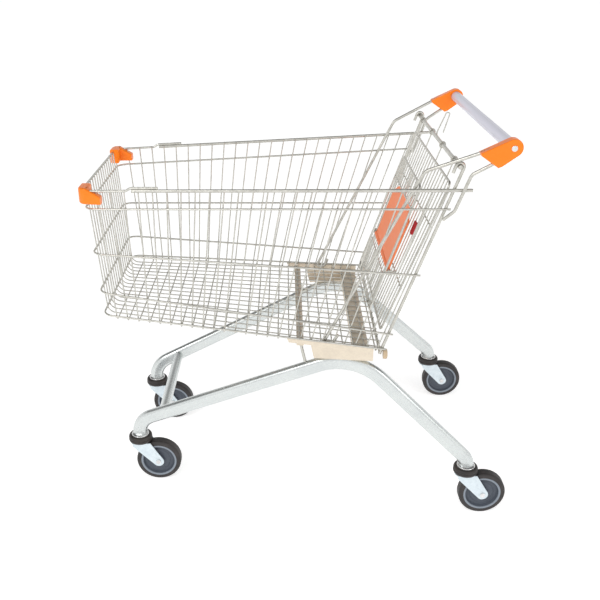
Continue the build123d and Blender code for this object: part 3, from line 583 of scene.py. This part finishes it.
def settle(
    piece: bpy.types.Object, body: Body, nodes: Iterable[str] = (),
) -> bpy.types.Object:
    """Give a finished piece its body and the nodes that it stands for.

    Args:
        piece: Finished piece, at the origin.
        body: Moving body that it rides on.
        nodes: CAD nodes that it replaces.

    Returns:
        The same piece.
    """
    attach(piece, body.value)
    if nodes:
        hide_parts(*nodes)
    log.info("%s: %d faces on %s", piece.name, len(piece.data.polygons), body.value)
    return piece


class GeometryTree:
    """A Geometry Nodes tree with named inputs, applied to an object as a plain mesh."""

    def __init__(self, name: str) -> None:
        """Make a tree with a geometry input and output."""
        self.tree = bpy.data.node_groups.new(name, "GeometryNodeTree")
        self.sockets: dict[str, str] = {}
        self.tree.interface.new_socket("Geometry", in_out="INPUT", socket_type="NodeSocketGeometry")
        self.tree.interface.new_socket("Geometry", in_out="OUTPUT", socket_type="NodeSocketGeometry")
        self.entry = self.tree.nodes.new("NodeGroupInput")
        self.leave = self.tree.nodes.new("NodeGroupOutput")

    def size(self, name: str, kind: str = "NodeSocketFloat") -> Any:
        """Add a named input and return its socket inside the tree."""
        made = self.tree.interface.new_socket(name, in_out="INPUT", socket_type=kind)
        self.sockets[name] = made.identifier
        return self.entry.outputs[name]

    def node(self, kind: str, settings: dict[str, Any], inputs: dict[Any, Any], output: Any = 0) -> Any:
        """Add a node, set it, fill its sockets and return one output."""
        made = self.tree.nodes.new(kind)
        for key, value in settings.items():
            setattr(made, key, value)
        for key, value in inputs.items():
            if isinstance(value, bpy.types.NodeSocket):
                self.tree.links.new(value, made.inputs[key])
            else:
                made.inputs[key].default_value = value
        return made.outputs[output]

    def close(self, geometry: Any, material: bpy.types.Material) -> None:
        """End the tree in Realize Instances and Set Material."""
        real = self.node("GeometryNodeRealizeInstances", {}, {0: geometry})
        shaded = self.node("GeometryNodeSetShadeSmooth", {}, {0: real})
        dressed = self.node("GeometryNodeSetMaterial", {}, {0: shaded, "Material": material})
        self.tree.links.new(dressed, self.leave.inputs[0])

    def apply(self, base: bpy.types.Object, **sizes: Any) -> bpy.types.Object:
        """Run the tree on a base object and keep the result as a plain mesh.

        Args:
            base: Object whose mesh is the tree's input; its mesh is replaced.
            sizes: Values of the named inputs, with _ for a space.

        Returns:
            The same object with the finished mesh and no modifier.
        """
        modifier = base.modifiers.new("build", "NODES")
        modifier.node_group = self.tree
        for key, value in sizes.items():
            modifier[self.sockets[key.replace("_", " ")]] = value
        graph = bpy.context.evaluated_depsgraph_get()
        result = bpy.data.meshes.new_from_object(base.evaluated_get(graph))
        base.modifiers.clear()
        base.data = result
        return base


class WireShop:
    """Bends round wire: centre lines with sharp corners become rods with round bends."""

    def __init__(self, material: bpy.types.Material) -> None:
        """Build the bending tree and the weld tree."""
        tree = GeometryTree("bent_wire")
        radius = tree.size("Wire Radius")
        bend = tree.size("Bend Radius")
        steps = tree.size("Bend Steps", "NodeSocketInt")
        sides = tree.size("Sides", "NodeSocketInt")
        line = tree.node("GeometryNodeMeshToCurve", {}, {0: tree.entry.outputs[0]})
        inputs = {0: line, "Count": steps, "Radius": bend, "Limit Radius": True}
        bent = tree.node("GeometryNodeFilletCurve", {"mode": "POLY"}, inputs)
        ring = tree.node("GeometryNodeCurvePrimitiveCircle", {}, {"Resolution": sides, "Radius": radius})
        inputs = {"Curve": bent, "Profile Curve": ring, "Fill Caps": True}
        tree.close(tree.node("GeometryNodeCurveToMesh", {}, inputs), material)
        self.wires = tree

        tree = GeometryTree("weld_spots")
        size = tree.size("Spot Radius")
        points = tree.node("GeometryNodeMeshToPoints", {}, {0: tree.entry.outputs[0]})
        bead = tree.node("GeometryNodeMeshIcoSphere", {}, {"Radius": size, "Subdivisions": 2})
        inputs = {"Points": points, "Instance": bead}
        tree.close(tree.node("GeometryNodeInstanceOnPoints", {}, inputs), material)
        self.welds = tree

    def bend(
        self, name: str, lines: Sequence[Path], diameter: float, bend: float,
        sides: int = 8, steps: int = 5, closed: bool = False,
    ) -> bpy.types.Object:
        """Bend a group of wires of one gauge.

        Args:
            name: Name of the piece.
            lines: Centre line of each wire, with sharp corners.
            diameter: Gauge of the wire.
            bend: Radius of its bends, at the centre line.
            sides: Faces round the wire.
            steps: Faces along each bend.
            closed: Whether each line closes on itself.

        Returns:
            The group as one plain mesh.
        """
        points: list[Vector] = []
        edges: list[tuple[int, int]] = []
        for line in lines:
            first = len(points)
            points += line
            edges += [(first + i, first + i + 1) for i in range(len(line) - 1)]
            if closed:
                edges.append((len(points) - 1, first))
        base = mesh_object(name, points, edges, [])
        return self.wires.apply(
            base, Wire_Radius=diameter / 2, Bend_Radius=bend, Bend_Steps=steps, Sides=sides,
        )

    def weld(self, name: str, points: Sequence[Vector], radius: float) -> bpy.types.Object:
        """Set a weld bead on each point."""
        return self.welds.apply(mesh_object(name, points, [], []), Spot_Radius=radius)


# ---------------------------------------------------------------- basket


@dataclass
class Basket:
    """The wire basket: wall wires, floor, hoops and the front rim rod."""

    shape: BasketShape
    shop: WireShop
    side_wires: int = 25
    top_x: float = -0.046
    low_x: float = -0.022
    stand_off: float = 0.011
    front_wires: int = 16
    front_wire_y: float = 0.176
    rear_wire_y: float = 0.258
    corner_cut: float = 0.030
    hoop_2_drop: float = 0.045
    hoop_3: tuple[float, float] = (0.704, 0.686)
    hoop_4: tuple[float, float] = (0.603, 0.526)
    lap_start: float = 0.042
    lap_end: float = 0.106
    wire_bend: float = 0.009
    floor_bend: float = 0.022
    rim_bend: float = 0.012
    joggle: float = 0.014
    lap_back: float = 0.002
    wire_proud: float = 0.002
    floor_past: float = 0.004
    top_hoop_past: float = 0.010
    low_hoop_past: float = 0.009
    bead_r: float = 0.0014

    def cross_lines(self) -> list[Path]:
        """U-shaped wires: down one wall, under the floor and up the other.

        Returns:
            Centre line of each wire.
        """
        s = self.shape
        tops = shares(self.top_x, s.edge_x(s.rim_z(s.hinge.x)) - self.stand_off, self.side_wires)
        lows = shares(self.low_x, s.floor_rear_x - self.stand_off, self.side_wires)
        lines = []
        for top, low in zip(tops, lows):
            left = [s.wall(top, s.rim_z(top) + self.wire_proud, s.wire_out, -1)]
            left.append(s.wall(low, s.cross_z(low), s.wire_out, -1))
            right = [Vector((point.x, -point.y, point.z)) for point in reversed(left)]
            lines.append(left + right)
        return lines

    def long_lines(self) -> list[Path]:
        """Wires down the front panel and back along the floor.

        Returns:
            Centre line of each wire.
        """
        s = self.shape
        inside = s.front_rod_d / 2 + s.gap + s.wire_d / 2
        z_top = s.rim_z_front + self.wire_proud
        z_low = s.long_z(s.floor_front_x)
        x_rear = s.floor_rear_x + self.floor_past
        lines = []
        fronts = shares(-self.front_wire_y, self.front_wire_y, self.front_wires)
        rears = shares(-self.rear_wire_y, self.rear_wire_y, self.front_wires)
        for y_front, y_rear in zip(fronts, rears):
            line = [(s.nose_x(z_top) + inside, y_front, z_top), (s.nose_x(z_low) + inside, y_front, z_low)]
            line.append((x_rear, y_rear, s.long_z(x_rear)))
            lines.append([Vector(point) + Vector((s.shift, 0, 0)) for point in line])
        return lines

    def hoop_line(self, height: Callable[[float], float], end_x: float) -> Path:
        """One hoop round both walls and the front, with square corners.

        Args:
            height: Height of the hoop at any X.
            end_x: X of its rear ends.

        Returns:
            Its centre line.
        """
        s = self.shape
        x = s.nose_x(height(s.front_x))
        ends = [s.wall(end_x, height(end_x), s.hoop_out, -1), s.wall(x, height(x), s.hoop_out, -1)]
        return ends + [Vector((point.x, -point.y, point.z)) for point in reversed(ends)]

    def hoops(self) -> dict[str, Callable[[float], float]]:
        """Height formula of each hoop, by the node that it stands for.

        Returns:
            The formulas by node name.
        """
        s = self.shape
        return {
            "hoop_upper": lambda x: s.rim_z(x) - self.hoop_2_drop,
            "hoop_middle": s.sloped(*self.hoop_3),
            "hoop_lower": s.sloped(*self.hoop_4),
            "hoop_floor": s.low_hoop_z,
        }

    def rim_line(self) -> Path:
        """The front rim rod with its joggled ends.

        Returns:
            Its centre line.
        """
        s = self.shape
        lift = s.rim_d / 2 + s.gap + s.front_rod_d / 2
        step = self.lap_start - self.joggle
        half = [s.wall(self.lap_end, s.rim_z(self.lap_end) + lift, 0, -1)]
        half.append(s.wall(self.lap_start - self.lap_back, s.rim_z(self.lap_start) + lift, 0, -1))
        half.append(s.wall(step, s.rim_z(step), 0, -1))
        half.append(s.wall(s.front_x, s.rim_z(s.front_x), 0, -1))
        return half + [Vector((point.x, -point.y, point.z)) for point in reversed(half)]

    def weld_points(self) -> list[Vector]:
        """Where the side wires cross the hoops and the rim.

        Returns:
            One point for each crossing.
        """
        s = self.shape
        found = []
        for line in self.cross_lines():
            top, low = line[0], line[1]
            for height in (*self.hoops().values(), s.rim_z):
                for side in (-1, 1):
                    x = top.x - s.shift
                    for _ in range(4):
                        share = (top.z - height(x)) / (top.z - low.z)
                        x = (top.x + (low.x - top.x) * share) - s.shift
                    if height is not s.low_hoop_z or share < 1:
                        out = s.wire_out + s.wire_d / 2
                        found.append(s.wall(x, height(x), out, side))
        return found

    def build(self) -> None:
        """Make the basket's pieces and settle them on the trolley."""
        s = self.shape
        nodes = ("side_wires_left", "side_wires_right", "floor_cross_wires")
        piece = self.shop.bend("basket_cross_wires", self.cross_lines(), s.wire_d, self.wire_bend)
        settle(piece, Body.TROLLEY, nodes)
        piece = self.shop.bend("basket_long_wires", self.long_lines(), s.wire_d, self.floor_bend, steps=7)
        settle(piece, Body.TROLLEY, ("front_wires", "floor_long_wires"))
        ends = {"hoop_upper": s.hinge.x, "hoop_middle": s.floor_rear_x}
        for node, height in self.hoops().items():
            past = self.top_hoop_past if node in ends else self.low_hoop_past
            end_x = s.edge_x(height(ends.get(node, s.floor_rear_x))) + past
            line = self.hoop_line(height, end_x)
            piece = self.shop.bend(f"{node}_bent", [line], s.hoop_d, self.corner_cut, 12, 9)
            settle(piece, Body.TROLLEY, (node,))
        piece = self.shop.bend("front_rim_bent", [self.rim_line()], s.front_rod_d, self.rim_bend, 12, 6)
        settle(piece, Body.TROLLEY, ("front_rim_rod",))
        piece = self.shop.weld("basket_welds", self.weld_points(), self.bead_r)
        settle(piece, Body.TROLLEY)


@dataclass
class CornerBumper:
    """Moulded cover over a front corner: a C section carried round the corner."""

    shape: BasketShape
    material: bpy.types.Material
    side: int
    node: str
    corner_r: float = 0.014
    edge_r: float = 0.0045
    inwards: float = 0.015
    leg: float = 0.034
    drop: float = 0.021
    steps: int = 8

    def section(self, low: float, high: float) -> list[tuple[float, float]]:
        """Rounded outline of the section.

        Args:
            low: Height of its low edge.
            high: Height of its top.

        Returns:
            Its points as (outwards, height).
        """
        out, inner, r = self.shape.bumper_out, -self.inwards, self.edge_r
        points = []
        corners = [(out - r, high - r, 90.0), (out - r, low + r, 0.0)]
        corners += [(inner + r, low + r, -90.0), (inner + r, high - r, 180.0)]
        for centre_out, centre_z, start in corners:
            for step in range(5):
                turn = math.radians(start - 90.0 * step / 4)
                points.append((centre_out + r * math.cos(turn), centre_z + r * math.sin(turn)))
        return points

    def build(self) -> None:
        """Sweep the section round the corner and settle the cover."""
        low_corner, high_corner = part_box(self.node)
        s = self.shape
        turn = math.atan(s.taper)
        corner = s.wall(s.front_x, 0, 0, self.side)
        end_x = high_corner.x
        start_y = min(abs(low_corner.y), abs(high_corner.y)) * self.side
        front = Vector((-1, 0, 0))
        flank = Vector((-math.sin(turn), self.side * math.cos(turn), 0))
        centre = corner - (front + flank) * self.corner_r
        rings = []
        section = self.section(low_corner.z, high_corner.z)
        last = self.steps + 3
        for station in range(last + 1):
            ring = []
            for out, z in section:
                reach = self.corner_r + out
                share = min(max(station - 1, 0), self.steps) / self.steps
                if reach > 0:
                    angle = share * math.pi / 2
                    point = centre + front * (reach * math.cos(angle)) + flank * (reach * math.sin(angle))
                else:
                    point = centre + (front + flank) * reach
                if station == 0:
                    point.y = start_y
                if station >= last - 1:
                    reach_x = end_x - (self.leg if station < last else 0.0)
                    point += Vector((1, self.side * math.tan(turn), 0)) * (reach_x - point.x)
                tall = 1.0 - (self.drop / (high_corner.z - low_corner.z) if station == last else 0.0)
                ring.append(Vector((point.x, point.y, low_corner.z + (z - low_corner.z) * tall)))
            rings.append(ring)
        count = len(section)
        points = [point for ring in rings for point in ring]
        faces = []
        for row in range(len(rings) - 1):
            for i in range(count):
                j = (i + 1) % count
                faces.append((row * count + i, row * count + j, (row + 1) * count + j, (row + 1) * count + i))
        faces.append(tuple(range(count)))
        faces.append(tuple((len(rings) - 1) * count + i for i in range(count)))
        piece = mesh_object(f"{self.node}_cover", points, [], faces)
        tidy_mesh(piece, self.material, 40.0)
        settle(piece, Body.TROLLEY, (self.node,))


def tidy_mesh(piece: bpy.types.Object, material: bpy.types.Material, angle: float) -> None:
    """Merge doubles, point the faces outwards, smooth by angle and dress the mesh.

    Args:
        piece: Piece whose mesh is finished.
        material: Its only material.
        angle: Sharpest edge that is still smoothed, in degrees.
    """
    shell = bmesh.new()
    shell.from_mesh(piece.data)
    bmesh.ops.remove_doubles(shell, verts=shell.verts, dist=1e-6)
    bmesh.ops.recalc_face_normals(shell, faces=shell.faces)
    for face in shell.faces:
        face.smooth = True
    for edge in shell.edges:
        edge.smooth = edge.is_manifold and edge.calc_face_angle(0.0) < math.radians(angle)
    shell.to_mesh(piece.data)
    shell.free()
    piece.data.materials.append(material)


# ---------------------------------------------------------------- gate and seat


@dataclass
class Gate:
    """Swing-in gate with the folding backrest."""

    shape: BasketShape
    shop: WireShop
    top_w: float = 0.045
    low_w: float = 0.462
    half_top: float = 0.274
    half_low: float = 0.231
    rod_d: float = 0.006
    back_low_w: float = 0.440
    back_length: float = 0.340
    back_n: float = 0.030
    back_half: float = 0.155
    gate_bend: float = 0.012
    back_bend: float = 0.018

    def loop(self, n: float, top: float, low: float, half_top: float, half_low: float) -> Path:
        """Closed frame on the gate's plane or parallel to it."""
        s = self.shape
        corners = [(-half_top, top), (half_top, top), (half_low, low), (-half_low, low)]
        return [s.gate_point(n, y, w) for y, w in corners]

    def build(self) -> None:
        """Make both rounded frames and settle them."""
        line = self.loop(0.0, self.top_w, self.low_w, self.half_top, self.half_low)
        piece = self.shop.bend("gate_frame_bent", [line], self.rod_d, self.gate_bend, 12, 6, closed=True)
        settle(piece, Body.GATE, ("gate_frame",))
        top = self.back_low_w - self.back_length
        line = self.loop(self.back_n, top, self.back_low_w, self.back_half, self.back_half)
        piece = self.shop.bend("seat_back_frame_bent", [line], self.rod_d, self.back_bend, 12, 7, closed=True)
        settle(piece, Body.SEAT_BACK, ("seat_back_frame",))


# ---------------------------------------------------------------- casters


def lathe(
    name: str, outlines: Sequence[Sequence[tuple[float, float]]], frames: Sequence[Matrix], turns: int = 64,
) -> bpy.types.Object:
    """Turn closed outlines about axes.

    Args:
        name: Name of the piece.
        outlines: Closed outlines as (radius, height) points.
        frames: Place and direction of each axis.
        turns: Faces round the axis.

    Returns:
        One mesh with every turned ring.
    """
    points: list[Vector] = []
    faces: list[tuple[int, ...]] = []
    for place in frames:
        for outline in outlines:
            first, count = len(points), len(outline)
            for turn in range(turns):
                angle = 2 * math.pi * turn / turns
                points += [place @ Vector((r * math.cos(angle), r * math.sin(angle), z)) for r, z in outline]
            for turn in range(turns):
                here, there = first + turn * count, first + (turn + 1) % turns * count
                for i in range(count):
                    ahead = (i + 1) % count
                    faces.append((here + i, here + ahead, there + ahead, there + i))
    return mesh_object(name, points, [], faces)


def rounded(corners: Sequence[tuple[float, float, float]], steps: int = 4) -> list[tuple[float, float]]:
    """Round the corners of a closed outline.

    Args:
        corners: Corners as (radius, height, fillet).
        steps: Points along each fillet.

    Returns:
        The rounded outline as (radius, height) points.
    """
    found = []
    for index, (r, z, fillet) in enumerate(corners):
        here = Vector((r, z))
        back = (Vector(corners[index - 1][:2]) - here).normalized() * fillet
        ahead = (Vector(corners[(index + 1) % len(corners)][:2]) - here).normalized() * fillet
        for step in range(steps + 1 if fillet else 1):
            share = step / steps
            bend = here + back * (1 - share) ** 2 + ahead * share ** 2
            found.append((bend.x, bend.y))
    return found


@dataclass
class CasterTrim:
    """Rounded rubber rings and zinc collars on the frame's feet, and lighter bands round the wheel cores as a
    painted highlight at the tyres' inner edge.
    """

    paint: Paint
    ring_r: float = 0.033
    ring_tall: float = 0.021
    collar_r: float = 0.0235
    highlight_band_r: float = 0.0475
    highlight_band_width: float = 0.0060
    highlight_band_out: float = 0.0150
    highlight_band_in: float = 0.010
    bore_r: float = 0.008

    def feet(self) -> dict[str, Vector]:
        """Centre of the foot of each ring, by caster.

        Returns:
            The points by caster.
        """
        found = {}
        low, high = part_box("bumper_rings")
        for where in ("front_left", "front_right", "rear_left", "rear_right"):
            crown_low, crown_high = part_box(f"fork_{where}")
            x = low.x + self.ring_r if "front" in where else high.x - self.ring_r
            found[where] = Vector((x, (crown_low.y + crown_high.y) / 2, low.z))
        return found

    def build(self) -> None:
        """Turn the rings, collars and the painted highlight bands."""
        frames = [Matrix.Translation(foot) for foot in self.feet().values()]
        r, tall, bore = self.ring_r, self.ring_tall, self.bore_r
        ring = rounded([
            (bore, 0, 0), (r - 0.001, 0, 0.006), (r, tall * 0.44, 0.003), (r - 0.0022, tall * 0.5, 0.0012),
            (r, tall * 0.56, 0.003), (r - 0.002, tall, 0.006), (self.collar_r + 0.001, tall, 0.0015),
            (self.collar_r, tall - 0.005, 0), (bore, tall - 0.005, 0),
        ])
        piece = lathe("ring_bumpers_rounded", [ring], frames)
        tidy_mesh(piece, self.paint.materials[Slot.RING], 50.0)
        settle(piece, Body.TROLLEY, ("bumper_rings",))
        collar = rounded([
            (bore, tall - 0.006, 0), (self.collar_r, tall - 0.006, 0),
            (self.collar_r + 0.0008, tall + 0.002, 0.002), (self.collar_r - 0.005, tall + 0.0045, 0.002),
            (bore, tall + 0.0045, 0),
        ])
        piece = lathe("tube_collars", [collar], frames)
        tidy_mesh(piece, self.paint.materials[Slot.STEEL], 50.0)
        settle(piece, Body.TROLLEY)
        # Lighter rings round each wheel core: a painted highlight at the tyre's inner edge.
        for where in self.feet():
            low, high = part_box(f"tyre_{where}")
            centre = (low + high) / 2
            highlight_bands = []
            for side in (-1, 1):
                inner, outer = self.highlight_band_r - self.highlight_band_width / 2, self.highlight_band_r + self.highlight_band_width / 2
                highlight_bands.append(rounded([
                    (inner, side * self.highlight_band_in, 0), (inner, side * self.highlight_band_out, 0.0015),
                    (outer, side * self.highlight_band_out, 0.0015), (outer, side * self.highlight_band_in, 0),
                ]))
            axis = Matrix.Translation(centre) @ Matrix.Rotation(math.pi / 2, 4, "X")
            piece = lathe(f"painted_highlight_band_{where}", highlight_bands, [axis], 96)
            tidy_mesh(piece, self.paint.highlight_band, 50.0)
            settle(piece, Body(f"wheel_{where}"))


# ---------------------------------------------------------------- studio


@dataclass(frozen=True)
class CameraView:
    """Camera of the product picture: where it stands and how it looks."""

    place: tuple[float, float, float] = (-0.0525, -2.0186, 1.3960)
    azimuth: float = 0.0078
    down: float = 0.4402
    roll: float = 0.0080
    lens: float = 46.98
    shift: tuple[float, float] = (0.0177, 0.0226)

    def build(self) -> None:
        """Create the camera and make it the scene's."""
        ahead = Vector((
            math.sin(self.azimuth) * math.cos(self.down),
            math.cos(self.azimuth) * math.cos(self.down),
            -math.sin(self.down),
        ))
        level = ahead.cross(Vector((0, 0, 1))).normalized()
        rise = level.cross(ahead)
        right = level * math.cos(self.roll) + rise * math.sin(self.roll)
        up = rise * math.cos(self.roll) - level * math.sin(self.roll)
        data = bpy.data.cameras.new("camera")
        data.lens = self.lens
        data.sensor_width = 36.0
        data.shift_x, data.shift_y = self.shift
        camera = bpy.data.objects.new("camera", data)
        turn = Matrix((right, up, -ahead)).transposed().to_4x4()
        camera.matrix_world = Matrix.Translation(self.place) @ turn
        bpy.context.scene.collection.objects.link(camera)
        bpy.context.scene.camera = camera


@dataclass(frozen=True)
class SoftLight:
    """One large studio light, aimed at the middle of the trolley."""

    name: str
    place: tuple[float, float, float]
    size: float
    power: float

    def build(self) -> None:
        """Create the light."""
        data = bpy.data.lights.new(self.name, "AREA")
        data.shape = "DISK"
        data.size = self.size
        data.energy = self.power
        light = bpy.data.objects.new(self.name, data)
        aim = Vector((0.0, 0.0, 0.5)) - Vector(self.place)
        turn = aim.to_track_quat("-Z", "Y").to_matrix().to_4x4()
        light.matrix_world = Matrix.Translation(self.place) @ turn
        bpy.context.scene.collection.objects.link(light)


def build_studio() -> None:
    """Floor, sky, lights and camera."""
    reach = 40.0
    corners = [(-reach, -reach, 0), (reach, -reach, 0), (reach, reach, 0), (-reach, reach, 0)]
    floor = mesh_object("studio_floor", corners, [], [(0, 1, 2, 3)])
    floor.data.materials.append(Floor().build())
    bpy.context.scene.world = Sky().build()
    lights = [
        SoftLight("key", (-2.2, -2.6, 3.2), 1.6, 34.0),
        SoftLight("fill", (2.8, -2.2, 2.2), 1.4, 12.0),
    ]
    for light in lights:
        light.build()
    CameraView().build()
    bpy.context.scene.view_settings.view_transform = "Standard"


def main() -> None:
    """Build the trolley's pieces in order and report each."""
    logging.basicConfig(level=logging.INFO, format="%(name)s %(message)s")
    build_studio()
    paint = Paint()
    paint.dress_frame()
    shape = BasketShape()
    shop = WireShop(paint.materials[Slot.WIRE])
    Basket(shape, shop).build()
    for side, name in ((-1, "left"), (1, "right")):
        CornerBumper(shape, paint.materials[Slot.ORANGE], side, f"corner_bumper_{name}").build()
    Gate(shape, shop).build()
    CasterTrim(paint).build()


if __name__ == "__main__":
    main()
